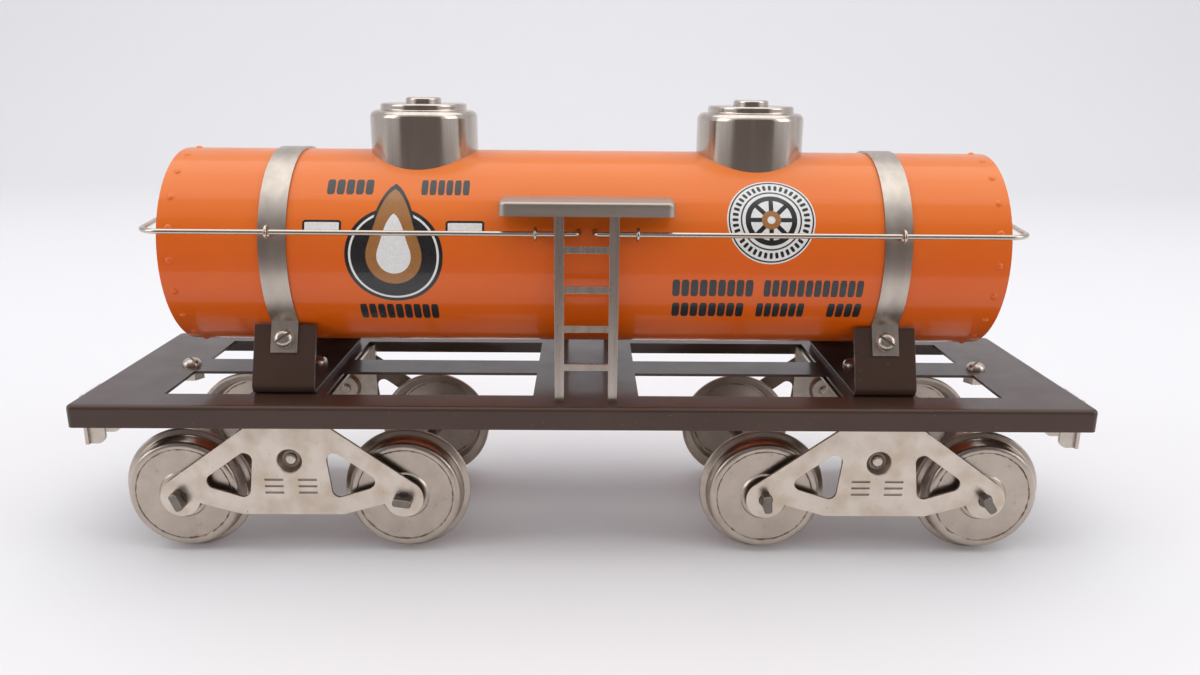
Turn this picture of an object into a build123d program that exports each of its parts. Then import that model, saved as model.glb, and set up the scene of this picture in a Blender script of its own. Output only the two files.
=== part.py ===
"""Two-dome tank wagon for Standard Gauge toy track, pressed and bent from tinplate.

X runs along the wagon, Z is up, and Z = 0 is the plane that the wheel flanges stand on.
The wagon is symmetric about X = 0 and Y = 0. Every size is in millimetres.
"""
from build123d import *
import math
import os

os.makedirs("parts", exist_ok=True)

SIDES = (-1, 1)
END_NAMES = {-1: "left", 1: "right"}
FACE_NAMES = {-1: "front", 1: "back"}

# Deck: one pressed tray, about 11 in by 3 in with a 1/4 in skirt, that carries everything
deck_length = 281.0
deck_width = 76.2
deck_top = 46.7
deck_skirt = 6.35
deck_sheet = 0.8
deck_bend = 1.2
deck_corner = 1.8
rail_width = 10.5
strip_width = 13.0
plate_half = 14.8
cross_inner = 72.9
cross_outer = 94.0
end_opening_outer = 117.9

# Tank: a rolled tube with a ring of embossed rivets near each end
tank_radius = 28.0
tank_length = 230.8
tank_axis_z = 84.5
tank_sheet = 0.5
rivet_ring_inset = 3.1
rivets_per_ring = 20
rivet_ball = 1.3
rivet_height = 0.5
head_flange = 5.0
head_crown = 2.4
head_inset = 0.3

# Saddles and straps that hold the tank down
saddle_x = 84.4
saddle_width = 17.3
saddle_sheet = 1.0
saddle_bend = 1.9
edge_round = 0.2
saddle_foot = (28.8, deck_top + saddle_sheet / 2)
saddle_tip = (21.4, 65.2)
strap_width = 7.5
strap_sheet = 0.6
strap_foot_length = 9.0
strap_screw_from_end = 6.0
strap_screw_turn = 35.0

# Domes
dome_x = 47.0
dome_radius = 15.2
dome_shoulder_z = 123.7
dome_step_radius = 12.2
dome_step_z = 125.6
dome_sheet = 0.5
dome_shoulder_round = 2.0
dome_crease_round = 0.4
dome_step_round = 0.7
dome_least_round = 0.2
button_radius = 5.0
button_height = 1.6
button_round = 0.7
dome_nut_gap = 0.4

# Fasteners: slotted round heads on plain shanks, and hexagon nuts
shank_radius = 1.5
clearance_hole = 1.6
head_radius = 2.8
head_height = 2.0
slot_width = 0.8
slot_depth = 1.1
nut_flats = 6.0
nut_height = 2.2
thread_gap = 0.02
turning_gap = 0.06
hole_gap = 0.05
stack_gap = 0.1
washer_radius = 5.0

# Wire handrails and their eyes
rail_wire = 0.7
rail_y = 31.5
rail_z = 93.0
rail_inner_x = 2.2
rail_corner_x = 118.4
rail_loop_x = 124.0
rail_hook_length = 5.8
rail_hook_bend = 1.4
rail_corner_bend = 7.0
rail_end_bend = 60.0
eye_x = (13.6, saddle_x)
eye_ring = 1.5
eye_wire = 0.42
eye_shank = 0.5
eye_tail = 1.6

# Ladders and the step platforms above them
ladder_y = 33.0
ladder_sheet = 0.8
stile_x = 7.3
stile_width = 2.6
rung_height = 1.9
rung_top_z = 89.1
rung_pitch = 10.8
rung_count = 4
tab_width = 1.6
tab_length = 4.0
platform_half = 23.1
platform_outer_y = 35.4
platform_inner_y = 21.9
platform_top = 101.9
platform_lip = 3.7
platform_sheet = 0.6
platform_corner = 2.2
platform_edge_round = 0.9

# Trucks: a U-shaped bolster with a flat side frame riveted to each leg
truck_x = 82.5
half_wheelbase = 31.3
axle_z = 18.0
bolster_half = 10.2
bolster_sheet = 0.8
bolster_top = 45.3
bolster_leg_foot = 23.0
bolster_bend = 1.4
leg_outer_y = 33.2
pivot_screw_turn = 20.0
frame_sheet = 0.9
frame_gap = 0.02
frame_top = 44.6
frame_end_radius = 5.6
frame_hole_round = 2.1
frame_edge = [(14.3, 13.1), (25.0, 16.1), (31.3, 18.0), (34.4, 22.66), (13.0, 38.2), (10.2, 40.1)]
frame_hole = [(9.8, 34.0), (26.0, 22.3), (11.7, 17.7)]
slit_count = 3
slit_x = 4.7
slit_top_z = 23.7
slit_pitch = 1.95
slit_size = (5.2, 0.7, 0.55)
dimple_z = 29.2
dimple_radius = 3.6
dimple_taper = 1.1
dimple_depth = 2.0
dimple_wall = 0.72
rivet_radius = 0.95
rivet_gap = 0.03
rivet_head = 1.7
rivet_head_height = 0.8
rivet_head_round = 0.7

# Wheels and axles
flange_radius = axle_z
tread_radius = 15.7
wheel_back_y = 25.4
wheel_face_y = 31.7
seat_radius = 13.5
seat_depth = 1.2
seat_shoulder = 0.9
flange_width = 1.3
flange_slope = 0.6
tyre_wall = 0.6
flange_wall = 1.1
tread_round = 1.5
tread_taper = 0.5
disc_inset = 0.15
disc_sheet = 0.8
boss_radius = 6.9
boss_height = 0.45
sleeve_radius = 3.6
hub_radius = 2.9
hub_back_y = 24.9
hub_face_y = 32.7
axle_radius = 1.85
axle_shoulder_y = 34.7
axle_end_y = 37.8
collar_radius = 2.6
collar_width = 0.7
blade_width = 5.2
blade_thickness = 2.3
blade_round = 0.8
blade_chamfer = 0.25
blade_overlap = 0.4
blade_angles = {(-1, 1): 68.0, (-1, -1): 8.0, (1, -1): 84.0, (1, 1): 58.0}

# Couplers: a drawbar pivoted under each end platform
coupler_x = 121.2
drawbar_sheet = 1.0
drawbar_width = 9.0
drawbar_gap = 0.1
drawbar_low_z = 38.4
drawbar_bend = 1.6
drawbar_crank_start = 131.0
drawbar_crank_end = 135.6
drawbar_end_round = 4.2
coupler_tip = 152.6
cheek_start = 147.8
cheek_foot = 22.8
cheek_half_gap = 4.5
cheek_lip = 1.9
cheek_round = 2.6
cheek_bend = 1.2
link_hole_inset = 1.3
coupler_screw_turn = 50.0


def save(name, *solids):
    """Write one node, as one solid or as a group of separate solids."""
    shape = solids[0] if len(solids) == 1 else Compound(children=list(solids))
    export_step(shape, f"parts/{name}.step")


def tank_cylinder(radius, length=tank_length):
    """A solid cylinder on the tank's axis."""
    return Pos(0, 0, tank_axis_z) * Cylinder(radius, length, rotation=(0, 90, 0))


def tank_radial(x, side, angle):
    """A plane on the tank's axis at x, whose Z points out at an angle above the horizontal."""
    outward = (0, side * math.cos(math.radians(angle)), math.sin(math.radians(angle)))
    return Plane(origin=(x, 0, tank_axis_z), x_dir=(1, 0, 0), z_dir=outward)


def offset_points(points, distance):
    """The corners of an open path moved sideways, to the left where distance is positive."""
    moved = []
    for index, point in enumerate(points):
        normals = []
        for start, end in ((index - 1, index), (index, index + 1)):
            if start >= 0 and end < len(points):
                run = (points[end] - points[start]).normalized()
                normals.append(Vector(-run.Y, run.X))
        mitre = sum(normals, Vector()) * (1 / len(normals))
        moved.append(point + mitre * (distance / mitre.length**2))
    return moved


def bent_sheet(path, bend_radius, thickness, width):
    """A strip bent along an open path in XY, with its width along Z."""
    points = [Vector(*point) for point in path]
    edges = []
    for side in SIDES:
        radii = []
        for before, corner, after in zip(points, points[1:], points[2:]):
            turn = (corner - before).cross(after - corner).Z
            radii.append(bend_radius - math.copysign(thickness / 2, turn * side))
        corners = offset_points(points, side * thickness / 2)
        edges.append(FilletPolyline(*corners, radius=radii))
    caps = [Line(edges[0] @ end, edges[1] @ end) for end in (0, 1)]
    outline = make_face([*edges[0].edges(), *edges[1].edges(), *caps])
    return extrude(outline, amount=width / 2, both=True)


def round_head_screw(length, turn=0):
    """A slotted round-head screw, with its head's underside at Z = 0 and its shank below."""
    head = Cylinder(head_radius, head_height, align=(Align.CENTER, Align.CENTER, Align.MIN))
    head = fillet(head.edges().sort_by(Axis.Z)[-1], head_height * 0.9)
    slot = Pos(0, 0, head_height) * Box(3 * head_radius, slot_width, 2 * slot_depth)
    shank = Cylinder(shank_radius, length, align=(Align.CENTER, Align.CENTER, Align.MAX))
    return Rot(0, 0, turn) * (head - slot + shank)


def hex_nut(bore=shank_radius + thread_gap):
    """A hexagon nut standing on Z = 0."""
    hexagon = RegularPolygon(nut_flats / 2, 6, major_radius=False)
    return extrude(hexagon - Circle(bore), amount=nut_height)


def drill(x, y, z_low, z_high, radius=clearance_hole):
    """A vertical cylinder to cut a hole with."""
    low = (Align.CENTER, Align.CENTER, Align.MIN)
    return Pos(x, y, z_low) * Cylinder(radius, z_high - z_low, align=low)


# --- Deck -------------------------------------------------------------------------------

def tray(length, width, top, depth, corner, bend):
    """A solid block with rounded upright corners and a rounded top edge."""
    block = Pos(0, 0, top - depth / 2) * Box(length, width, depth)
    block = fillet(block.edges().filter_by(Axis.Z), corner)
    return fillet(block.faces().sort_by(Axis.Z)[-1].edges(), bend)


def deck_opening(end, side, x_low, x_high):
    """One rectangular opening between a side rail and the centre strip."""
    y_low = strip_width / 2
    y_high = deck_width / 2 - rail_width
    box = Box(x_high - x_low, y_high - y_low, 4 * deck_sheet)
    return Pos(end * (x_low + x_high) / 2, side * (y_low + y_high) / 2, deck_top) * box


def make_deck():
    outer = tray(deck_length, deck_width, deck_top, deck_skirt, deck_corner, deck_bend)
    inner = tray(
        deck_length - 2 * deck_sheet,
        deck_width - 2 * deck_sheet,
        deck_top - deck_sheet,
        deck_skirt,
        deck_corner - deck_sheet,
        deck_bend - deck_sheet,
    )
    deck = outer - inner
    for end in SIDES:
        for side in SIDES:
            deck -= deck_opening(end, side, plate_half, cross_inner)
            deck -= deck_opening(end, side, cross_outer, end_opening_outer)
            slot = Box(tab_width + thread_gap, ladder_sheet + thread_gap, 4 * deck_sheet)
            deck -= Pos(end * stile_x, side * ladder_y, deck_top) * slot
        for hole_x in (truck_x, coupler_x):
            deck -= drill(end * hole_x, 0, deck_top - 2 * deck_sheet, deck_top + deck_sheet)
    save("deck_frame", deck)


# --- Saddles and straps -----------------------------------------------------------------

ear_run = Vector(saddle_tip[0] - saddle_foot[0], saddle_tip[1] - saddle_foot[1])
ear_up = ear_run.normalized()
ear_out = Vector(ear_up.Y, -ear_up.X)


def ear_point(offset, radius):
    """Where a line parallel to the ear, offset outwards, meets a circle round the tank."""
    start = Vector(*saddle_foot) + ear_out * offset - Vector(0, tank_axis_z)
    along = start.dot(ear_up)
    reach = math.sqrt(along**2 - start.length**2 + radius**2)
    return start + ear_up * (-along - reach) + Vector(0, tank_axis_z)


strap_outer_gap = saddle_sheet / 2 + thread_gap
strap_bend_point = ear_point(strap_outer_gap + strap_sheet / 2, tank_radius + strap_sheet / 2)
strap_screw_point = strap_bend_point - ear_up * (strap_foot_length - strap_screw_from_end / 2 - 1)


def strap_screw_plane(end, side, offset):
    """A plane at a strap screw, facing outwards, offset from the middle of the strap foot."""
    middle = strap_screw_point + ear_out * offset
    return Plane(
        origin=(end * saddle_x, side * middle.X, middle.Y),
        x_dir=(1, 0, 0),
        z_dir=(0, side * ear_out.X, ear_out.Y),
    )


def make_saddle(end):
    foot_y, foot_z = saddle_foot
    tip_y, tip_z = saddle_tip
    path = [(-tip_y, tip_z), (-foot_y, foot_z), (foot_y, foot_z), (tip_y, tip_z)]
    saddle = Plane.YZ * bent_sheet(path, saddle_bend, saddle_sheet, saddle_width)
    side_edges = saddle.edges().filter_by(GeomType.LINE).filter_by(Axis.X, reverse=True)
    saddle = fillet(side_edges.filter_by(lambda edge: edge.length > 2 * saddle_sheet), edge_round)
    saddle = Pos(end * saddle_x, 0, 0) * saddle
    saddle -= drill(end * truck_x, 0, deck_top - 1, deck_top + 2 * saddle_sheet)
    for side in SIDES:
        saddle -= strap_screw_plane(end, side, 0) * Cylinder(clearance_hole, 4)
    save(f"saddle_{END_NAMES[end]}", saddle)


def strap_outline(offset, radius):
    """One face of the strap as edges: foot, arc over the tank, foot."""
    bend = ear_point(offset, radius)
    tip = strap_bend_point - ear_up * strap_foot_length
    tip += ear_out * (offset - strap_outer_gap - strap_sheet / 2)
    over = ThreePointArc((-bend.X, bend.Y), (0, tank_axis_z + radius), (bend.X, bend.Y))
    return [Line((-tip.X, tip.Y), over @ 0), over, Line(over @ 1, (tip.X, tip.Y))]


def make_strap(end):
    inner = strap_outline(strap_outer_gap, tank_radius + thread_gap)
    outer = strap_outline(strap_outer_gap + strap_sheet, tank_radius + thread_gap + strap_sheet)
    caps = [Line(inner[0] @ 0, outer[0] @ 0), Line(inner[2] @ 1, outer[2] @ 1)]
    strap = extrude(make_face(inner + outer + caps), amount=strap_width / 2, both=True)
    strap = Pos(end * saddle_x, 0, 0) * (Plane.YZ * strap)
    for side in SIDES:
        strap -= strap_screw_plane(end, side, 0) * Cylinder(clearance_hole, 4)
        strap -= eye_hole(end * saddle_x, side)
    save(f"strap_{END_NAMES[end]}", strap)


def make_strap_fasteners():
    screws = []
    nuts = []
    nut_offset = -strap_sheet / 2 - saddle_sheet - 2 * thread_gap - nut_height
    for end in SIDES:
        for side in SIDES:
            screw = round_head_screw(head_height + nut_height, turn=side * end * strap_screw_turn)
            screws.append(strap_screw_plane(end, side, strap_sheet / 2 + thread_gap) * screw)
            nuts.append(strap_screw_plane(end, side, nut_offset) * hex_nut())
    save("strap_screws", *screws)
    save("strap_nuts", *nuts)


# --- Tank -------------------------------------------------------------------------------

rail_angle = math.degrees(math.atan2(rail_z - tank_axis_z, rail_y))
rail_reach = math.hypot(rail_z - tank_axis_z, rail_y)


def eye_hole(x, side):
    """The hole that a handrail eye's shank passes through."""
    return tank_radial(x, side, rail_angle) * Pos(0, 0, tank_radius) * Cylinder(eye_shank + hole_gap, 4)


def make_tank_shell():
    tank = tank_cylinder(tank_radius)
    ball_seat = tank_radius + rivet_height - rivet_ball
    bumps = []
    for end in SIDES:
        ring_x = end * (tank_length / 2 - rivet_ring_inset)
        for index in range(rivets_per_ring):
            ring = tank_radial(ring_x, 1, 360 * index / rivets_per_ring)
            bumps.append(ring * Pos(0, 0, ball_seat) * Sphere(rivet_ball))
    tank = tank.fuse(*bumps)
    tank -= tank_cylinder(tank_radius - tank_sheet, tank_length + 2)
    for end in SIDES:
        for side in SIDES:
            hook = Cylinder(rail_wire + hole_gap, 8, rotation=(90, 0, 0))
            tank -= Pos(end * rail_inner_x, side * tank_radius, rail_z) * hook
            for x in eye_x:
                tank -= eye_hole(end * x, side)
        top = tank_axis_z + tank_radius
        tank -= drill(end * dome_x, 0, top - 3, top + 3)
    save("tank_shell", tank)


def head_solid(radius, crown):
    """A solid disc with a spherical crown, whose rim lies on Z = 0 and whose foot is below."""
    ball_radius = (radius**2 + head_crown**2) / (2 * head_crown)
    ball = Pos(0, 0, crown - ball_radius) * Sphere(ball_radius)
    return ball & Cylinder(radius, 2 * head_flange)


def make_tank_head(end):
    outer = tank_radius - tank_sheet - thread_gap
    head = head_solid(outer, head_crown) - head_solid(outer - tank_sheet, head_crown - tank_sheet)
    head = Pos(end * (tank_length / 2 - head_inset), 0, tank_axis_z) * Rot(0, end * 90, 0) * head
    save(f"tank_head_{END_NAMES[end]}", head)


# --- Domes ------------------------------------------------------------------------------

def dome_solid(inset):
    """A solid dome, stepped at the top, shrunk by an inset on every side."""
    wall = dome_radius - inset
    step = dome_step_radius - inset
    corners = [
        (0, tank_axis_z),
        (wall, tank_axis_z),
        (wall, dome_shoulder_z - inset),
        (step, dome_shoulder_z - inset),
        (step, dome_step_z - inset),
        (0, dome_step_z - inset),
    ]
    profile = Polygon(*corners, align=None)
    for radius, index in ((dome_shoulder_round, 2), (dome_crease_round, 3), (dome_step_round, 4)):
        nearest = profile.vertices().sort_by_distance((*corners[index], 0))[0]
        profile = fillet(nearest, max(radius - inset / 2, dome_least_round))
    return revolve(Plane.XZ * profile, Axis.Z)


def make_dome(end):
    dome = dome_solid(0) - dome_solid(dome_sheet)
    dome = Pos(end * dome_x, 0, 0) * dome
    dome -= tank_cylinder(tank_radius + thread_gap)
    dome -= drill(end * dome_x, 0, dome_step_z - 2, dome_step_z + 1)
    save(f"dome_{END_NAMES[end]}", dome)


def make_dome_fasteners():
    """The flat button on each dome is the head of a stud that runs down into the tank."""
    studs = []
    nuts = []
    inside_top = tank_axis_z + tank_radius - tank_sheet
    nut_z = inside_top - dome_nut_gap - nut_height
    for end in SIDES:
        low = (Align.CENTER, Align.CENTER, Align.MIN)
        button = Cylinder(button_radius, button_height, align=low)
        button = fillet(button.edges().sort_by(Axis.Z)[-1], button_round)
        shank_length = dome_step_z - nut_z + 0.5
        high = (Align.CENTER, Align.CENTER, Align.MAX)
        stud = button + Cylinder(shank_radius, shank_length, align=high)
        studs.append(Pos(end * dome_x, 0, dome_step_z + thread_gap) * stud)
        nuts.append(Pos(end * dome_x, 0, nut_z) * hex_nut())
    save("dome_studs", *studs)
    save("dome_nuts", *nuts)


# --- Handrails, ladders and platforms ---------------------------------------------------

def make_handrail(end):
    """One wire, hooked into the tank front and back and carried round its end."""
    hook_y = rail_y - rail_hook_length
    corners = [
        (end * rail_inner_x, -hook_y),
        (end * rail_inner_x, -rail_y),
        (end * rail_corner_x, -rail_y),
        (end * rail_loop_x, 0),
        (end * rail_corner_x, rail_y),
        (end * rail_inner_x, rail_y),
        (end * rail_inner_x, hook_y),
    ]
    bends = [rail_hook_bend, rail_corner_bend, rail_end_bend, rail_corner_bend, rail_hook_bend]
    route = FilletPolyline(*[(x, y, rail_z) for x, y in corners], radius=bends)
    section = Plane(origin=route @ 0, z_dir=route % 0) * Circle(rail_wire)
    save(f"handrail_{END_NAMES[end]}", sweep(section, path=route))


def make_handrail_eyes():
    eyes = []
    inner = tank_radius - eye_tail
    shank_length = rail_reach - eye_ring - inner
    for end in SIDES:
        for side in SIDES:
            for x in eye_x:
                ring = Torus(eye_ring, eye_wire, rotation=(0, 90, 0))
                ring = Pos(end * x, side * rail_y, rail_z) * ring
                shank = Pos(0, 0, inner + shank_length / 2) * Cylinder(eye_shank, shank_length)
                eyes.append(ring + tank_radial(end * x, side, rail_angle) * shank)
    save("handrail_eyes", *eyes)


def make_ladder(side):
    """Two flat stiles and four rungs in one plane, tabbed through the deck."""
    foot = deck_top
    top = platform_top - platform_sheet
    bars = []
    for end in SIDES:
        stile = Box(stile_width, ladder_sheet, top - foot)
        bars.append(Pos(end * stile_x, 0, (top + foot) / 2) * stile)
        tab = Box(tab_width, ladder_sheet, tab_length)
        bars.append(Pos(end * stile_x, 0, foot) * tab)
    for index in range(rung_count):
        rung = Box(2 * stile_x, ladder_sheet, rung_height)
        bars.append(Pos(0, 0, rung_top_z - index * rung_pitch) * rung)
    ladder = bars[0].fuse(*bars[1:])
    save(f"ladder_{FACE_NAMES[side]}", Pos(0, side * ladder_y, 0) * ladder)


def make_platform(side):
    """A shallow upside-down tray, open at the back, whose rear edge meets the tank."""
    depth = platform_outer_y - platform_inner_y
    outer = Box(2 * platform_half, 2 * depth, platform_lip)
    outer = fillet(outer.edges().filter_by(Axis.Z), platform_corner)
    outer = fillet(outer.faces().sort_by(Axis.Z)[-1].edges(), platform_edge_round)
    inner = Box(
        2 * (platform_half - platform_sheet),
        2 * (depth - platform_sheet),
        platform_lip,
    )
    inner = fillet(inner.edges().filter_by(Axis.Z), platform_corner - platform_sheet)
    platform = outer - Pos(0, 0, -platform_sheet) * inner
    platform &= Pos(0, -depth / 2, 0) * Box(3 * platform_half, depth, 3 * platform_lip)
    middle_z = platform_top - platform_lip / 2
    platform = Pos(0, -platform_inner_y, middle_z) * platform
    if side > 0:
        platform = mirror(platform, about=Plane.XZ)
    save(f"platform_{FACE_NAMES[side]}", platform - tank_cylinder(tank_radius + thread_gap))


# --- Trucks -----------------------------------------------------------------------------

def dimple(outer_y, radius, depth):
    """A tapered plug pressed inwards along Y from a face of a sheet on the +Y side."""
    plug = Cone(radius - dimple_taper, radius, depth)
    return Pos(0, outer_y - depth / 2, dimple_z) * Rot(-90, 0, 0) * plug


frame_outer_y = leg_outer_y + frame_gap + frame_sheet
frame_plug_radius = dimple_radius + dimple_wall
frame_plug_depth = dimple_depth + frame_sheet
leg_plug_depth = frame_plug_depth - frame_sheet - frame_gap + bolster_sheet


def make_bolster(end):
    leg_y = leg_outer_y - bolster_sheet / 2
    top_z = bolster_top - bolster_sheet / 2
    path = [(-leg_y, bolster_leg_foot), (-leg_y, top_z), (leg_y, top_z), (leg_y, bolster_leg_foot)]
    bolster = Plane.YZ * bent_sheet(path, bolster_bend, bolster_sheet, 2 * bolster_half)
    bolster -= drill(0, 0, bolster_top - 2, bolster_top + 1, shank_radius + turning_gap)
    for side in SIDES:
        turn = Rot(0, 0, 0 if side > 0 else 180)
        bolster += turn * dimple(leg_outer_y, frame_plug_radius + bolster_sheet, leg_plug_depth)
        bolster -= turn * dimple(frame_outer_y, frame_plug_radius + rivet_gap, frame_plug_depth + frame_gap)
        bolster -= turn * frame_rivet_cylinder(rivet_radius + rivet_gap, 8)
    save(f"bolster_{END_NAMES[end]}", Pos(end * truck_x, 0, 0) * bolster)


def frame_rivet_cylinder(radius, length):
    """A cylinder along Y through the middle of the dimple on the +Y side."""
    middle_y = frame_outer_y - dimple_depth - 1
    return Pos(0, middle_y, dimple_z) * Cylinder(radius, length, rotation=(90, 0, 0))


def side_frame_outline():
    """The side frame seen from outside, drawn in XY with Y as height."""
    axle_ends = [Pos(end * half_wheelbase, axle_z) * Circle(frame_end_radius) for end in SIDES]
    right = [*frame_edge, (bolster_half, frame_top)]
    left = [(-x, z) for x, z in reversed(right)]
    body = Polygon(*right, *left, align=None)
    outline = body + axle_ends[0] + axle_ends[1]
    for end in SIDES:
        triangle = Polygon(*frame_hole, align=None)
        triangle = fillet(triangle.vertices(), frame_hole_round)
        outline -= triangle if end > 0 else mirror(triangle, about=Plane.YZ)
        outline -= Pos(end * half_wheelbase, axle_z) * Circle(axle_radius + turning_gap)
    return outline


def make_side_frame(end, side):
    plate = extrude(side_frame_outline(), amount=frame_sheet)
    plate = Pos(0, frame_outer_y, 0) * (Plane.XZ * plate)
    plate += dimple(frame_outer_y, frame_plug_radius, frame_plug_depth)
    plate -= dimple(frame_outer_y, dimple_radius, dimple_depth)
    plate -= frame_rivet_cylinder(rivet_radius + rivet_gap, 8)
    for group in SIDES:
        for index in range(slit_count):
            slit_z = slit_top_z - slit_pitch * index
            plate -= Pos(group * slit_x, frame_outer_y, slit_z) * Box(*slit_size)
    turn = Rot(0, 0, 0 if side > 0 else 180)
    name = f"side_frame_{END_NAMES[end]}_{FACE_NAMES[side]}"
    save(name, Pos(end * truck_x, 0, 0) * turn * plate)


def make_frame_rivets(end):
    """One headed rivet through the nested dimples of each leg and side frame."""
    floor_y = frame_outer_y - dimple_depth
    tail_y = leg_outer_y - leg_plug_depth
    shank = Pos(0, (floor_y + tail_y) / 2, dimple_z) * Cylinder(
        rivet_radius, floor_y - tail_y + 2 * rivet_head_height, rotation=(90, 0, 0)
    )
    rivet = shank
    for face_y, outward in ((floor_y + thread_gap, 1), (tail_y - thread_gap, -1)):
        head = Cylinder(rivet_head, rivet_head_height)
        head = fillet(head.edges().sort_by(Axis.Z)[-1], rivet_head_round)
        head = Rot(-90 * outward, 0, 0) * head
        rivet += Pos(0, face_y + outward * rivet_head_height / 2, dimple_z) * head
    rivets = [Pos(end * truck_x, 0, 0) * Rot(0, 0, turn) * rivet for turn in (0, 180)]
    save(f"frame_rivets_{END_NAMES[end]}", *rivets)


def make_pivot_fasteners():
    """The screws, washers and nuts that the trucks swivel on."""
    screws = []
    washers = []
    nuts = []
    under_deck = deck_top - deck_sheet
    nut_z = bolster_top - bolster_sheet - stack_gap - nut_height
    head_z = deck_top + saddle_sheet + thread_gap
    for end in SIDES:
        place = Pos(end * truck_x, 0, 0)
        screws.append(place * Pos(0, 0, head_z) * round_head_screw(head_z - nut_z + 1, turn=pivot_screw_turn))
        washer_height = under_deck - bolster_top - stack_gap
        ring = Circle(washer_radius) - Circle(clearance_hole)
        washer = extrude(ring, amount=washer_height)
        washers.append(place * Pos(0, 0, bolster_top + stack_gap) * washer)
        nuts.append(place * Pos(0, 0, nut_z) * hex_nut())
    save("truck_pivot_screws", *screws)
    save("truck_pivot_washers", *washers)
    save("truck_pivot_nuts", *nuts)


# --- Wheels and axles -------------------------------------------------------------------

def turned_about_axle(edges):
    """A solid turned about the axle from a profile of (radius, distance from the middle)."""
    profile = make_face(edges)
    return Pos(0, 0, axle_z) * Rot(-90, 0, 0) * revolve(Plane.XZ * profile, Axis.Z)


def wheel_tyre():
    """The rolled tread and flange of a wheel on the +Y side, from (radius, distance, bend)."""
    flange_front_y = wheel_back_y + flange_width
    corners = [
        (flange_radius, wheel_back_y, 0.3),
        (flange_radius, flange_front_y, 0.5),
        (tread_radius + tread_taper, flange_front_y + flange_slope, 0.6),
        (tread_radius, wheel_face_y, tread_round),
        (seat_radius, wheel_face_y, 0.3),
        (seat_radius, wheel_face_y - seat_depth, 0.1),
        (seat_radius + seat_shoulder, wheel_face_y - seat_depth, 0.2),
        (tread_radius - tyre_wall, wheel_back_y + seat_shoulder, 0.3),
        (flange_radius - flange_wall, wheel_back_y, 0.2),
    ]
    points = [(radius, distance) for radius, distance, bend in corners]
    bends = [bend for radius, distance, bend in corners]
    return turned_about_axle(FilletPolyline(*points, radius=bends, close=True).edges())


def wheel_disc():
    """The face disc, boss and hub sleeve of a wheel on the +Y side."""
    bore = axle_radius + turning_gap
    face = wheel_face_y - disc_inset
    rim = seat_radius - thread_gap
    corners = [
        (bore, hub_back_y),
        (sleeve_radius, hub_back_y),
        (sleeve_radius, face - disc_sheet),
        (rim, face - disc_sheet),
        (rim, face),
        (boss_radius, face),
        (boss_radius - boss_height, face + boss_height),
        (hub_radius, face + boss_height),
        (hub_radius, hub_face_y),
        (bore, hub_face_y),
    ]
    return turned_about_axle(Polyline(*corners, close=True).edges())


def axle(blade_angle):
    """A rod with a collar inside each wheel and its ends flattened into blades."""
    rod = Cylinder(axle_radius, 2 * axle_shoulder_y)
    for end in SIDES:
        collar_z = end * (hub_back_y - stack_gap - collar_width / 2)
        rod += Pos(0, 0, collar_z) * Cylinder(collar_radius, collar_width)
        blade_length = axle_end_y - axle_shoulder_y + blade_overlap
        blade = Box(blade_width, blade_thickness, blade_length)
        blade = fillet(blade.edges().filter_by(Axis.Z), blade_round)
        tip = blade.faces().sort_by(Axis.Z)[-1 if end > 0 else 0]
        blade = chamfer(tip.edges(), blade_chamfer)
        blade = Rot(0, 0, blade_angle) * blade
        rod += Pos(0, 0, end * (axle_end_y - blade_length / 2)) * blade
    return Pos(0, 0, axle_z) * Rot(-90, 0, 0) * rod


def make_wheelsets():
    tyre = wheel_tyre()
    disc = wheel_disc()
    for end in SIDES:
        for place in SIDES:
            x = end * (truck_x + place * half_wheelbase)
            name = f"{END_NAMES[end]}_{'outer' if place > 0 else 'inner'}"
            save(f"axle_{name}", Pos(x, 0, 0) * axle(blade_angles[end, place]))
            for side in SIDES:
                turn = Rot(0, 0, 0 if side > 0 else 180)
                save(f"tyre_{name}_{FACE_NAMES[side]}", Pos(x, 0, 0) * turn * tyre)
                save(f"disc_{name}_{FACE_NAMES[side]}", Pos(x, 0, 0) * turn * disc)


# --- Couplers ---------------------------------------------------------------------------

drawbar_z = deck_top - deck_sheet - drawbar_gap - drawbar_sheet / 2


def coupler():
    """A cranked drawbar with two hanging cheeks, at the +X end of the wagon."""
    path = [
        (coupler_x - drawbar_width / 2, drawbar_z),
        (drawbar_crank_start, drawbar_z),
        (drawbar_crank_end, drawbar_low_z),
        (cheek_start + 1, drawbar_low_z),
    ]
    bar = Plane.XZ * bent_sheet(path, drawbar_bend, drawbar_sheet, drawbar_width)
    rounding = bar.edges().filter_by(Axis.Z).sort_by(Axis.X)[:2]
    bar = fillet(rounding, drawbar_end_round)
    bar -= drill(coupler_x, 0, drawbar_z - 2, drawbar_z + 2, shank_radius + turning_gap)
    bar += coupler_head()
    return bar - drill(cheek_start + link_hole_inset, 0, drawbar_low_z - 2, drawbar_low_z + 2)


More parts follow.
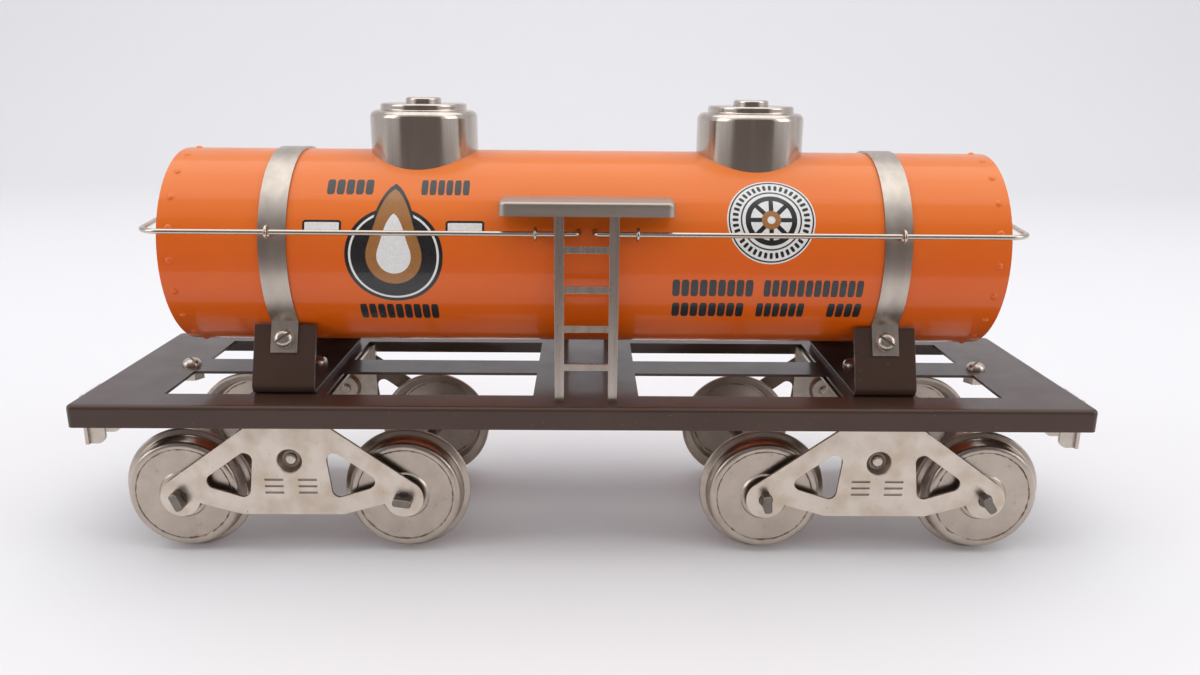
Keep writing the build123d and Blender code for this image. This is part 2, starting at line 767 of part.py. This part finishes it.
def coupler_head():
    """The hanging U at the end of the drawbar, with lips turned outwards at its mouth."""
    cheek_y = cheek_half_gap + drawbar_sheet / 2
    path = [
        (-cheek_y, cheek_foot),
        (-cheek_y, drawbar_low_z),
        (cheek_y, drawbar_low_z),
        (cheek_y, cheek_foot),
    ]
    length = coupler_tip - cheek_start
    head = Plane.YZ * bent_sheet(path, cheek_bend, drawbar_sheet, length)
    head = Pos((coupler_tip + cheek_start) / 2, 0, 0) * head
    lower_edges = head.edges().filter_by(Axis.Y).group_by(Axis.Z)[0]
    head = fillet(lower_edges.group_by(Axis.X)[0], cheek_round)
    lip_height = drawbar_low_z - cheek_foot
    for side in SIDES:
        lip = Box(drawbar_sheet, cheek_lip, lip_height)
        lip_y = side * (cheek_half_gap + cheek_lip / 2)
        lip_x = coupler_tip + drawbar_sheet / 2
        head += Pos(lip_x, lip_y, cheek_foot + lip_height / 2) * lip
    return head


def make_couplers():
    screws = []
    nuts = []
    nut_z = drawbar_z - drawbar_sheet / 2 - stack_gap - nut_height
    right = coupler()
    for end in SIDES:
        save(f"coupler_{END_NAMES[end]}", Rot(0, 0, 0 if end > 0 else 180) * right)
        head_z = deck_top + thread_gap
        screw = round_head_screw(head_z - nut_z + stack_gap, turn=end * coupler_screw_turn)
        screws.append(Pos(end * coupler_x, 0, head_z) * screw)
        nuts.append(Pos(end * coupler_x, 0, nut_z) * hex_nut())
    save("coupler_screws", *screws)
    save("coupler_nuts", *nuts)


make_deck()
make_strap_fasteners()
make_tank_shell()
make_dome_fasteners()
make_handrail_eyes()
make_pivot_fasteners()
make_wheelsets()
make_couplers()
for end in SIDES:
    make_saddle(end)
    make_strap(end)
    make_tank_head(end)
    make_dome(end)
    make_handrail(end)
    make_bolster(end)
    make_frame_rivets(end)
    for side in SIDES:
        make_side_frame(end, side)
for side in SIDES:
    make_ladder(side)
    make_platform(side)
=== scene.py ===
"""Looks for the tank wagon: materials, printed decals, light, floor and camera.

Everything is in metres in the CAD frame: X along the wagon, Y away from the camera, Z up.
"""

import math

import bmesh
import bpy
from mathutils import Matrix, Vector


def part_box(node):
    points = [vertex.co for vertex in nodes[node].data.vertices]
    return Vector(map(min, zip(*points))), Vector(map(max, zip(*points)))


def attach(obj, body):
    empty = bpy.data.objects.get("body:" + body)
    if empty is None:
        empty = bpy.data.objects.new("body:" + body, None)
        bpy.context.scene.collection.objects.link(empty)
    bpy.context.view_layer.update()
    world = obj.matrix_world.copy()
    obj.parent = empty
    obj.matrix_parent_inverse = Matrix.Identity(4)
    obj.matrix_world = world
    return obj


MM = 0.001

# Camera: where it stands, and how it is turned, in radians
CAMERA_PLACE = Vector((-0.00005, -0.2800, 0.13276))
CAMERA_PITCH = 0.2670
CAMERA_YAW = 0.0140
CAMERA_ROLL = 0.0097
CAMERA_LENS = 28.38
CAMERA_SHIFT = 0.001

# Tank
TANK_RADIUS = 28.0 * MM
DECAL_LIFT = 0.03 * MM

# Wheels: where the disc meets the tyre, and how wide the grime there is
DISC_RADIUS = 13.5 * MM
TYRE_RADIUS = 18.0 * MM
SEAM = 0.5 * MM

# Decals, in millimetres: places are (along the tank, up round it from the front)
EMBLEM_PLACE = (-52.0, 1.8)
EMBLEM_RADIUS = 13.2
EMBLEM_RING = (11.6, 12.2)
DROP_PLACE = (-52.0, 1.5)
DROP_RADII = (8.2, 7.5, 4.6)
DROP_POINT = 1.55
BAR_OFFSET = 19.2
BAR_ARC = 9.4
BAR_HALF_SIZE = (5.2, 1.9)
BAR_BORDER = 0.6
ROUNDEL_PLACE = (49.9, 12.2)
ROUNDEL_RADIUS = 12.0
ROUNDEL_RIM = (11.2, 11.6)
ROUNDEL_RING = (7.9, 8.3)
ROUNDEL_FELLY = (5.6, 7.0)
ROUNDEL_HUB = (1.1, 2.6)
SPOKE_COUNT = 8
SPOKE_REACH = 3.9
SPOKE_HALF_SIZE = (2.0, 0.6)
TICK_COUNT = 40
TICK_REACH = 9.75
TICK_HALF_SIZE = (0.8, 0.42)

# Rows of blocks: the groups' starts and ends, the place up round the tank, the height
BLOCK_ROWS = {
    "upper_blocks": (((-70.5, -58.0), (-45.0, -32.0)), 21.3, 5.0),
    "lower_blocks": (((-62.5, -41.0),), -15.3, 5.4),
    "first_row": (((23.5, 45.6), (48.6, 75.9)), -6.8, 5.0),
    "second_row": (((23.7, 43.5), (47.2, 60.4), (67.0, 76.3)), -14.0, 5.0),
}

# Linear colours
ORANGE = (0.70, 0.105, 0.0015)
# Painted highlight: the yellower orange blended in towards the top of the tank
ORANGE_HIGHLIGHT = (0.80, 0.185, 0.012)
BROWN = (0.055, 0.029, 0.020)
NICKEL = (0.64, 0.57, 0.50)
WORN_NICKEL = (0.53, 0.455, 0.39)
INK = (0.012, 0.012, 0.014)
PRINT_WHITE = (0.80, 0.79, 0.76)
PRINT_TAN = (0.36, 0.15, 0.035)
DUST = (0.20, 0.17, 0.15)
STAIN = (0.20, 0.13, 0.075)
WHEEL_GRIME = (0.17, 0.105, 0.06)
# Dark colour for the frames' pits and for the painted shade in their recesses
FRAME_GRIME_AND_SHADE = (0.16, 0.11, 0.075)
YELLOWED = (0.60, 0.50, 0.40)
# Painted shading: the floor paper darker near the camera and lighter towards the backdrop
PAPER_NEAR_SHADED = (0.86, 0.852, 0.862)
PAPER_FAR_LIT = (0.92, 0.912, 0.925)
ROOM = (0.19, 0.158, 0.15)
SKY = (0.84, 0.84, 0.87)

# Lights: places and sizes in metres, powers in watts
WAGON_MIDDLE = (0.0, 0.0, 0.07)
TOP_PLACE = (0.0, 0.05, 1.1)
TOP_SIZE = (2.0, 1.2)
TOP_POWER = 8.0
SIDE_PLACE = (1.4, -0.5, 0.7)
SIDE_SIZE = (0.8, 0.9)
SIDE_POWER = 4.0
SKY_STRENGTH = 0.76

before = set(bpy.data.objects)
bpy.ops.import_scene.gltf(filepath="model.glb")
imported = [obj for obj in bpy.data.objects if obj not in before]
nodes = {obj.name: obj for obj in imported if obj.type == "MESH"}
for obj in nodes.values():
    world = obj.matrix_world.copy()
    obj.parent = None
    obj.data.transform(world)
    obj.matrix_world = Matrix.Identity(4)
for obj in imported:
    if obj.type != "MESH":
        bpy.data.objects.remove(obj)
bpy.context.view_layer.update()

# Places taken from the CAD model: the tank's axis, and the outer face of the side frames
TANK_Z = (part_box("tank_shell")[0].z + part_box("tank_shell")[1].z) / 2
FRAME_FACE_Y = -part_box("side_frame_left_front")[0].y


# --- Materials --------------------------------------------------------------------------

# A Mix node has its sockets once for each kind of data; these are the colour ones
MIX_COLOUR_INPUTS = (6, 7)
MIX_COLOUR_OUTPUT = 2


class Shader:
    """A material being built on the Principled shader, with short ways to add nodes."""

    def __init__(self, name, color, metallic=0.0, roughness=0.4):
        self.material = bpy.data.materials.new(name)
        self.material.use_nodes = True
        self.material.diffuse_color = (*color, 1.0)
        self.tree = self.material.node_tree
        self.surface = self.tree.nodes["Principled BSDF"]
        self.set("Base Color", (*color, 1.0))
        self.set("Metallic", metallic)
        self.set("Roughness", roughness)
        coordinates = self.node("ShaderNodeTexCoord")
        self.place = coordinates.outputs["Object"]
        self.own_box = coordinates.outputs["Generated"]

    def node(self, kind, **settings):
        made = self.tree.nodes.new(kind)
        for setting, value in settings.items():
            setattr(made, setting, value)
        return made

    def set(self, socket, value):
        """Set or link one socket of the surface shader."""
        self.feed(self.surface.inputs[socket], value)

    def feed(self, socket, value):
        if isinstance(value, bpy.types.NodeSocket):
            self.tree.links.new(value, socket)
        else:
            socket.default_value = value

    def stretched(self, x=1.0, y=1.0, z=1.0, source=None):
        """Coordinates scaled along each axis, for grain that runs one way."""
        mapping = self.node("ShaderNodeMapping")
        self.feed(mapping.inputs["Vector"], source or self.place)
        mapping.inputs["Scale"].default_value = (x, y, z)
        return mapping.outputs["Vector"]

    def noise(self, size, detail=2.0, rough=0.5, source=None):
        """Noise from 0 to 1 with features about size metres across."""
        made = self.node("ShaderNodeTexNoise")
        self.feed(made.inputs["Vector"], source or self.place)
        made.inputs["Scale"].default_value = 1.0 / size
        made.inputs["Detail"].default_value = detail
        made.inputs["Roughness"].default_value = rough
        return made.outputs["Fac"]

    def spread(self, value, low, high, to_low=0.0, to_high=1.0):
        """Value mapped from low..high to to_low..to_high, held at the ends."""
        made = self.node("ShaderNodeMapRange", clamp=True)
        self.feed(made.inputs["Value"], value)
        for socket, number in zip(("From Min", "From Max"), (low, high)):
            made.inputs[socket].default_value = number
        for socket, number in zip(("To Min", "To Max"), (to_low, to_high)):
            made.inputs[socket].default_value = number
        return made.outputs["Result"]

    def math(self, operation, first, second=0.0):
        made = self.node("ShaderNodeMath", operation=operation)
        self.feed(made.inputs[0], first)
        self.feed(made.inputs[1], second)
        return made.outputs[0]

    def blend(self, factor, first, second):
        """One colour fading to another as factor goes from 0 to 1."""
        made = self.node("ShaderNodeMix", data_type="RGBA")
        self.feed(made.inputs["Factor"], factor)
        for socket, colour in zip(MIX_COLOUR_INPUTS, (first, second)):
            value = colour if isinstance(colour, bpy.types.NodeSocket) else (*colour, 1.0)
            self.feed(made.inputs[socket], value)
        return made.outputs[MIX_COLOUR_OUTPUT]

    def bump(self, height, depth, strength=1.0):
        """Raise the surface by up to depth metres, on top of any bump made before."""
        made = self.node("ShaderNodeBump")
        made.inputs["Distance"].default_value = depth
        made.inputs["Strength"].default_value = strength
        self.feed(made.inputs["Height"], height)
        if self.surface.inputs["Normal"].is_linked:
            self.feed(made.inputs["Normal"], self.surface.inputs["Normal"].links[0].from_socket)
        self.set("Normal", made.outputs["Normal"])

    def radius(self, span):
        """Distance in metres from the middle of a round piece that lies in XZ."""
        centred = self.node("ShaderNodeVectorMath", operation="SUBTRACT")
        self.feed(centred.inputs[0], self.own_box)
        centred.inputs[1].default_value = (0.5, 0.5, 0.5)
        flat = self.stretched(span, 0.0, span, source=centred.outputs["Vector"])
        length = self.node("ShaderNodeVectorMath", operation="LENGTH")
        self.feed(length.inputs[0], flat)
        return length.outputs["Value"]

    def axis(self, letter):
        """The place along X, Y or Z, in metres."""
        split = self.node("ShaderNodeSeparateXYZ")
        self.feed(split.inputs["Vector"], self.place)
        return split.outputs[letter]

    def along(self, value):
        """A vector with value as its X, for noise that varies one way only."""
        made = self.node("ShaderNodeCombineXYZ")
        self.feed(made.inputs["X"], value)
        return made.outputs["Vector"]


def tinted(colour, factor):
    """A colour made darker or lighter by a factor."""
    return tuple(channel * factor for channel in colour)


def orange_enamel():
    """Glossy stoved enamel with orange peel and a little dust, and a painted highlight that
    turns it yellower towards the top.
    """
    shader = Shader("orange_enamel", ORANGE, roughness=0.32)
    # Painted highlight: yellower from the tank's axis up to its top
    painted_top_highlight = shader.spread(shader.axis("Z"), TANK_Z, TANK_Z + TANK_RADIUS)
    cloud = shader.spread(shader.noise(0.03), 0.35, 0.65, 0.0, 0.12)
    shader.set("Base Color", shader.blend(shader.math("ADD", painted_top_highlight, cloud), ORANGE, ORANGE_HIGHLIGHT))
    shader.set("Roughness", shader.spread(shader.noise(0.008), 0.3, 0.7, 0.28, 0.38))
    shader.set("Specular IOR Level", 0.3)
    shader.set("Coat Weight", 0.45)
    shader.set("Coat Roughness", 0.06)
    shader.bump(shader.noise(0.0025, detail=1.0), 0.02 * MM, 0.35)
    shader.bump(shader.spread(shader.noise(0.0006), 0.72, 0.78), 0.02 * MM, 0.4)
    return shader.material


def brown_enamel():
    """Dark brown enamel, glossy, with rubbed patches and fine dust."""
    shader = Shader("brown_enamel", BROWN, roughness=0.3)
    cloud = shader.spread(shader.noise(0.03, detail=2.0), 0.35, 0.7)
    base = shader.blend(cloud, BROWN, tinted(BROWN, 1.15))
    dust = shader.spread(shader.noise(0.0009, detail=2.0), 0.72, 0.78, 0.0, 0.6)
    shader.set("Base Color", shader.blend(dust, base, DUST))
    shader.set("Roughness", shader.spread(shader.noise(0.01), 0.3, 0.7, 0.28, 0.36))
    shader.set("Specular IOR Level", 0.28)
    shader.set("Coat Weight", 0.3)
    shader.set("Coat Roughness", 0.1)
    shader.bump(shader.noise(0.003, detail=1.0), 0.015 * MM, 0.3)
    return shader.material


def nickel(name, roughness, grain=(1.0, 1.0, 1.0), stain=0.0, colour=NICKEL):
    """Nickel plate with a fine grain and streaks that run one way, and soft stains."""
    shader = Shader(name, colour, metallic=1.0, roughness=roughness)
    brushed = shader.stretched(*grain)
    lines = shader.noise(0.0007, detail=3.0, source=brushed)
    streaks = shader.spread(shader.noise(0.003, detail=4.0, source=brushed), 0.35, 0.7)
    clean = shader.blend(streaks, colour, tinted(colour, 0.82))
    spots = shader.spread(shader.noise(0.004, detail=6.0, rough=0.65), 0.60, 0.72, 0.0, stain)
    shader.set("Base Color", shader.blend(spots, clean, STAIN))
    rough = shader.math("ADD", shader.spread(lines, 0.3, 0.7, -0.03, 0.05), roughness)
    shader.set("Roughness", shader.math("ADD", rough, shader.math("MULTIPLY", spots, 0.3)))
    shader.bump(lines, 0.003 * MM, 0.3)
    return shader.material


def turned_nickel(name, span, colour, seam, roughness=0.29):
    """Nickel with faint lathe rings, stained brown in patches and along the seam's radius."""
    shader = Shader(name, colour, metallic=1.0, roughness=roughness)
    radius = shader.radius(span)
    rings = shader.noise(0.0006, detail=3.0, source=shader.along(radius))
    patches = shader.spread(shader.noise(0.005, detail=4.0), 0.35, 0.7)
    clean = shader.blend(patches, colour, tinted(colour, 0.86))
    spots = shader.spread(shader.noise(0.003, detail=6.0, rough=0.65), 0.60, 0.74, 0.0, 0.4)
    from_seam = shader.math("ABSOLUTE", shader.math("SUBTRACT", radius, seam))
    ragged = shader.math("ADD", from_seam, shader.spread(shader.noise(0.002), 0.3, 0.7, 0, SEAM))
    darkening = shader.math("MAXIMUM", spots, shader.spread(ragged, 0.3 * SEAM, SEAM, 0.85, 0.0))
    shader.set("Base Color", shader.blend(darkening, clean, WHEEL_GRIME))
    shader.set("Roughness", shader.math("ADD", shader.math("MULTIPLY", darkening, 0.25), roughness))
    shader.bump(rings, 0.0006 * MM, 0.2)
    return shader.material


def frame_nickel():
    """Duller plate with yellowed patches and fine pits, and painted shade, with some patina,
    darkening it wherever it is recessed.
    """
    colour = tinted(NICKEL, 1.12)
    shader = Shader("frame_nickel", colour, metallic=1.0, roughness=0.32)
    # Painted shade: darker wherever the surface lies behind the frame's outer face
    sunk = shader.math("SUBTRACT", FRAME_FACE_Y, shader.math("ABSOLUTE", shader.axis("Y")))
    painted_recess_shade = shader.spread(sunk, 0.02 * MM, 0.5 * MM, 0.0, 0.75)
    patches = shader.spread(shader.noise(0.007, detail=5.0), 0.42, 0.66)
    clean = shader.blend(patches, colour, YELLOWED)
    pits = shader.spread(shader.noise(0.0011, detail=4.0, rough=0.6), 0.66, 0.72, 0.0, 0.5)
    darkening = shader.math("MAXIMUM", pits, painted_recess_shade)
    shader.set("Base Color", shader.blend(darkening, clean, FRAME_GRIME_AND_SHADE))
    rough = shader.spread(shader.noise(0.005, detail=4.0), 0.3, 0.7, 0.28, 0.38)
    shader.set("Roughness", shader.math("ADD", rough, shader.math("MULTIPLY", darkening, 0.2)))
    shader.bump(shader.noise(0.002, detail=3.0), 0.01 * MM, 0.3)
    return shader.material


def printed(name, colour):
    """Decal ink with slightly uneven cover."""
    shader = Shader(name, colour, roughness=0.3)
    cover = shader.spread(shader.noise(0.0008, detail=3.0), 0.3, 0.7)
    shader.set("Base Color", shader.blend(cover, tinted(colour, 0.88), colour))
    shader.set("Roughness", shader.spread(shader.noise(0.002), 0.3, 0.7, 0.25, 0.4))
    shader.set("Coat Weight", 0.5)
    shader.set("Coat Roughness", 0.08)
    shader.bump(shader.noise(0.0012), 0.01 * MM, 0.3)
    return shader.material


def dress(material, *prefixes):
    """Give a material to every CAD node whose name starts with one of the prefixes."""
    for name, node in nodes.items():
        if name.startswith(prefixes):
            node.data.materials.clear()
            node.data.materials.append(material)


def soften(width, *prefixes):
    """Round the sharp edges of CAD nodes a little, so that they catch the light."""
    for name, node in nodes.items():
        if name.startswith(prefixes):
            weld = node.modifiers.new("weld", "WELD")
            weld.merge_threshold = 0.002 * MM
            bevel = node.modifiers.new("bevel", "BEVEL")
            bevel.width = width
            bevel.segments = 2
            bevel.limit_method = "ANGLE"
            bevel.angle_limit = math.radians(40)
            bevel.harden_normals = True


def dress_wagon():
    """Give every CAD node its material."""
    grained_x = (0.04, 1.0, 1.0)
    grained_z = (1.0, 1.0, 0.04)
    dress(orange_enamel(), "tank_")
    dress(brown_enamel(), "deck_frame", "saddle_")
    dress(nickel("dome_nickel", 0.16, grained_z, 0.05), "dome_left", "dome_right")
    dress(nickel("button_nickel", 0.2), "dome_studs")
    dress(nickel("strap_nickel", 0.34, grained_z, 0.05, tinted(NICKEL, 0.9)), "strap_left",
          "strap_right")
    dress(nickel("platform_nickel", 0.42, grained_x, 0.05, tinted(NICKEL, 0.85)), "platform_")
    dress(nickel("ladder_nickel", 0.28, grained_z, 0.1, tinted(NICKEL, 0.9)), "ladder_")
    dress(nickel("wire_nickel", 0.2, grained_x, 0.1), "handrail_")
    dress(frame_nickel(), "side_frame_")
    dress(nickel("bracket_nickel", 0.32, stain=0.15), "bolster_", "coupler_")
    dress(nickel("axle_steel", 0.35, (1.0, 0.05, 1.0), 0.7, tinted(NICKEL, 0.36)), "axle_")
    dress(nickel("fastener_steel", 0.28, stain=0.3), "strap_screws", "strap_nuts", "dome_nuts",
          "truck_pivot", "coupler_screws", "coupler_nuts", "frame_rivets")
    dress(turned_nickel("tyre_nickel", 2 * TYRE_RADIUS, WORN_NICKEL, DISC_RADIUS), "tyre_")
    dress(turned_nickel("disc_nickel", 2 * DISC_RADIUS, WORN_NICKEL, DISC_RADIUS), "disc_")
    soften(0.12 * MM, "ladder_", "side_frame_")


# --- Printed decals ---------------------------------------------------------------------

def on_tank(x, arc, lift):
    """A point on the front of the tank: along it, up round it from the middle, and above it."""
    angle = arc / TANK_RADIUS
    reach = TANK_RADIUS + lift
    return Vector((x, -reach * math.cos(angle), TANK_Z + reach * math.sin(angle)))


def decal(name, material, centre, inner, outer, lift=1, steps=96, rings=10):
    """A thin printed patch on the tank between two outlines given in polar form."""
    mesh = bpy.data.meshes.new(name)
    made = bmesh.new()
    grid = []
    for ring in range(rings + 1):
        row = []
        for step in range(steps):
            angle = 2 * math.pi * step / steps
            near, far = inner(angle), outer(angle)
            reach = near + (far - near) * ring / rings
            x = centre[0] + reach * math.cos(angle)
            arc = centre[1] + reach * math.sin(angle)
            row.append(made.verts.new(on_tank(x * MM, arc * MM, lift * DECAL_LIFT)))
        grid.append(row)
    for low, high in zip(grid, grid[1:]):
        for step in range(steps):
            after = (step + 1) % steps
            made.faces.new((low[step], high[step], high[after], low[after]))
    bmesh.ops.remove_doubles(made, verts=made.verts, dist=0.001 * MM)
    bmesh.ops.recalc_face_normals(made, faces=made.faces)
    made.to_mesh(mesh)
    made.free()
    mesh.materials.append(material)
    mesh.shade_smooth()
    piece = bpy.data.objects.new(name, mesh)
    bpy.context.collection.objects.link(piece)
    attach(piece, "root")
    return piece


def circle(radius):
    """The outline of a circle, as distance from its middle at any angle."""
    return lambda angle: radius


def oblong(half_width, half_height, turn=0.0):
    """The outline of a turned rectangle, as distance from its middle at an angle."""
    def reach(angle):
        across = abs(math.cos(angle - turn)) / half_width
        along = abs(math.sin(angle - turn)) / half_height
        return 1 / max(across, along)
    return reach


def drop(radius, point):
    """The outline of a liquid drop whose point stands point times its radius higher."""
    point_spread, point_sharpness = 0.40, 1.3

    def reach(angle):
        from_top = abs((angle - math.pi / 2 + math.pi) % (2 * math.pi) - math.pi)
        return radius * (1 + point * math.exp(-(from_top / point_spread) ** point_sharpness))
    return reach


def block_row(name, material, starts_and_ends, arc, height, width=1.9, gap=0.5):
    """A row of plain upright blocks, in groups."""
    for group, (start, end) in enumerate(starts_and_ends):
        count = round((end - start + gap) / (width + gap))
        pitch = (end - start + gap) / count
        for index in range(count):
            centre = (start + pitch * (index + 0.5) - gap / 2, arc)
            shape = oblong((pitch - gap) / 2, height / 2)
            decal(f"{name}_{group}_{index}", material, centre, circle(0), shape,
                  steps=24, rings=3)


def print_left_emblem(ink, white, tan):
    """A dark disc with a liquid drop standing in it, and a plain bar on each side."""
    ring_inner, ring_outer = EMBLEM_RING
    decal("emblem_ground", ink, EMBLEM_PLACE, circle(0), circle(EMBLEM_RADIUS))
    decal("emblem_ring", white, EMBLEM_PLACE, circle(ring_inner), circle(ring_outer), lift=2,
          rings=3)
    for layer, (material, radius) in enumerate(zip((ink, tan, white), DROP_RADII)):
        decal(f"emblem_drop_{layer}", material, DROP_PLACE, circle(0), drop(radius, DROP_POINT),
              lift=3 + layer)
    half_width, half_height = BAR_HALF_SIZE
    for side in (-1, 1):
        place = (DROP_PLACE[0] + side * BAR_OFFSET, BAR_ARC)
        for layer, (material, trim) in enumerate(((ink, 0.0), (white, BAR_BORDER))):
            decal(f"emblem_bar_{side + 1}_{layer}", material, place, circle(0),
                  oblong(half_width - trim, half_height - trim), lift=1 + layer, steps=48,
                  rings=6)


def ring_of_oblongs(name, material, count, reach, half_size, steps):
    """Oblongs standing round the roundel, each turned to point at its middle."""
    for index in range(count):
        angle = 2 * math.pi * index / count
        middle = (ROUNDEL_PLACE[0] + reach * math.cos(angle),
                  ROUNDEL_PLACE[1] + reach * math.sin(angle))
        decal(f"{name}_{index}", material, middle, circle(0), oblong(*half_size, angle),
              lift=2, steps=steps, rings=2)


def print_right_roundel(ink, white, tan):
    """A white roundel with a spoked wheel in it and a ring of plain ticks."""
    decal("roundel_ground", white, ROUNDEL_PLACE, circle(0), circle(ROUNDEL_RADIUS))
    for name, material, (inner, outer), lift, rings in (
            ("rim", ink, ROUNDEL_RIM, 2, 2),
            ("ring", ink, ROUNDEL_RING, 2, 2),
            ("felly", ink, ROUNDEL_FELLY, 2, 3),
            ("hub", tan, ROUNDEL_HUB, 3, 3)):
        decal(f"roundel_{name}", material, ROUNDEL_PLACE, circle(inner), circle(outer),
              lift=lift, rings=rings)
    ring_of_oblongs("roundel_spoke", ink, SPOKE_COUNT, SPOKE_REACH, SPOKE_HALF_SIZE, steps=24)
    ring_of_oblongs("roundel_tick", ink, TICK_COUNT, TICK_REACH, TICK_HALF_SIZE, steps=16)


def print_decals():
    """Everything printed on the front of the tank."""
    ink = printed("print_ink", INK)
    white = printed("print_white", PRINT_WHITE)
    tan = printed("print_tan", PRINT_TAN)
    print_left_emblem(ink, white, tan)
    print_right_roundel(ink, white, tan)
    for name, (groups, arc, height) in BLOCK_ROWS.items():
        block_row(name, ink, groups, arc, height)


# --- Stage ------------------------------------------------------------------------------

def stage_material(name, near, far, roughness):
    """Matt paper or wall whose colour fades from near to far along Y, painted shading that
    leaves the floor darker near the camera and lighter towards the backdrop.
    """
    shader = Shader(name, near, roughness=roughness)
    distance = shader.spread(shader.axis("Y"), 0.0, 1.2)
    shader.set("Base Color", shader.blend(distance, near, far))
    shader.set("Roughness", shader.spread(shader.noise(0.05), 0.3, 0.7, roughness - 0.05,
                                          roughness + 0.05))
    return shader.material


def sweep_floor():
    """A pale floor that curves up into a backdrop behind the wagon."""
    half_width, near, foot, radius, top = 4.0, -4.0, 0.9, 0.7, 3.0
    steps = 24
    profile = [(near, 0.0), (foot, 0.0)]
    for step in range(1, steps + 1):
        angle = math.pi / 2 * step / steps
        profile.append((foot + radius * math.sin(angle), radius * (1 - math.cos(angle))))
    profile.append((foot + radius, top))
    mesh = bpy.data.meshes.new("floor")
    made = bmesh.new()
    rows = [[made.verts.new((x, y, z)) for x in (-half_width, half_width)] for y, z in profile]
    for low, high in zip(rows, rows[1:]):
        made.faces.new((low[0], low[1], high[1], high[0]))
    made.to_mesh(mesh)
    made.free()
    mesh.shade_smooth()
    mesh.materials.append(stage_material("paper_white", PAPER_NEAR_SHADED, PAPER_FAR_LIT, 0.6))
    floor = bpy.data.objects.new("floor", mesh)
    bpy.context.collection.objects.link(floor)


def soft_light(name, place, size, power):
    """A white softbox that faces the wagon."""
    data = bpy.data.lights.new(name, "AREA")
    data.shape = "RECTANGLE"
    data.size, data.size_y = size
    data.energy = power
    light = bpy.data.objects.new(name, data)
    light.location = place
    direction = Vector(WAGON_MIDDLE) - Vector(place)
    light.rotation_euler = direction.to_track_quat("-Z", "Y").to_euler()
    bpy.context.collection.objects.link(light)


def dark_room():
    """The dim room behind the camera, which the metal reflects but the camera doesn't see."""
    mesh = bpy.data.meshes.new("room")
    half_width, near, far, low, high = 1.5, -0.21, -1.5, 0.002, 1.3
    profile = [(near, low), (far, low), (far, high)]
    corners = [(side * half_width, y, z) for y, z in profile for side in (-1, 1)]
    mesh.from_pydata(corners, [], [(0, 1, 3, 2), (2, 3, 5, 4)])
    mesh.materials.append(stage_material("room_grey", ROOM, ROOM, 0.9))
    room = bpy.data.objects.new("room", mesh)
    room.visible_camera = False
    room.visible_diffuse = False
    room.visible_shadow = False
    bpy.context.collection.objects.link(room)


def light_studio():
    """One softbox overhead, one on each side, and an even pale sky."""
    side_x, side_y, side_z = SIDE_PLACE
    soft_light("top_softbox", TOP_PLACE, TOP_SIZE, TOP_POWER)
    soft_light("left_softbox", (-side_x, side_y, side_z), SIDE_SIZE, SIDE_POWER)
    soft_light("right_softbox", (side_x, side_y, side_z), SIDE_SIZE, SIDE_POWER)
    world = bpy.data.worlds.new("studio")
    world.use_nodes = True
    background = world.node_tree.nodes["Background"]
    background.inputs["Color"].default_value = (*SKY, 1.0)
    background.inputs["Strength"].default_value = SKY_STRENGTH
    bpy.context.scene.world = world


def place_camera():
    """The camera, a little above the tank and turned by pitch, yaw and roll."""
    pitch, yaw, roll = CAMERA_PITCH, CAMERA_YAW, CAMERA_ROLL
    forward = Vector((math.sin(yaw) * math.cos(pitch), math.cos(yaw) * math.cos(pitch),
                      -math.sin(pitch)))
    level = Vector((math.cos(yaw), -math.sin(yaw), 0))
    upright = level.cross(forward)
    right = level * math.cos(roll) + upright * math.sin(roll)
    up = upright * math.cos(roll) - level * math.sin(roll)
    turn = Matrix((right, up, -forward)).transposed().to_4x4()
    data = bpy.data.cameras.new("camera")
    data.lens = CAMERA_LENS
    data.sensor_width = 36.0
    data.shift_x = CAMERA_SHIFT
    data.clip_start = 0.01
    camera = bpy.data.objects.new("camera", data)
    camera.matrix_world = Matrix.Translation(CAMERA_PLACE) @ turn
    bpy.context.collection.objects.link(camera)
    bpy.context.scene.camera = camera


dress_wagon()
print_decals()
sweep_floor()
dark_room()
light_studio()
place_camera()
bpy.context.scene.view_settings.view_transform = "Standard"
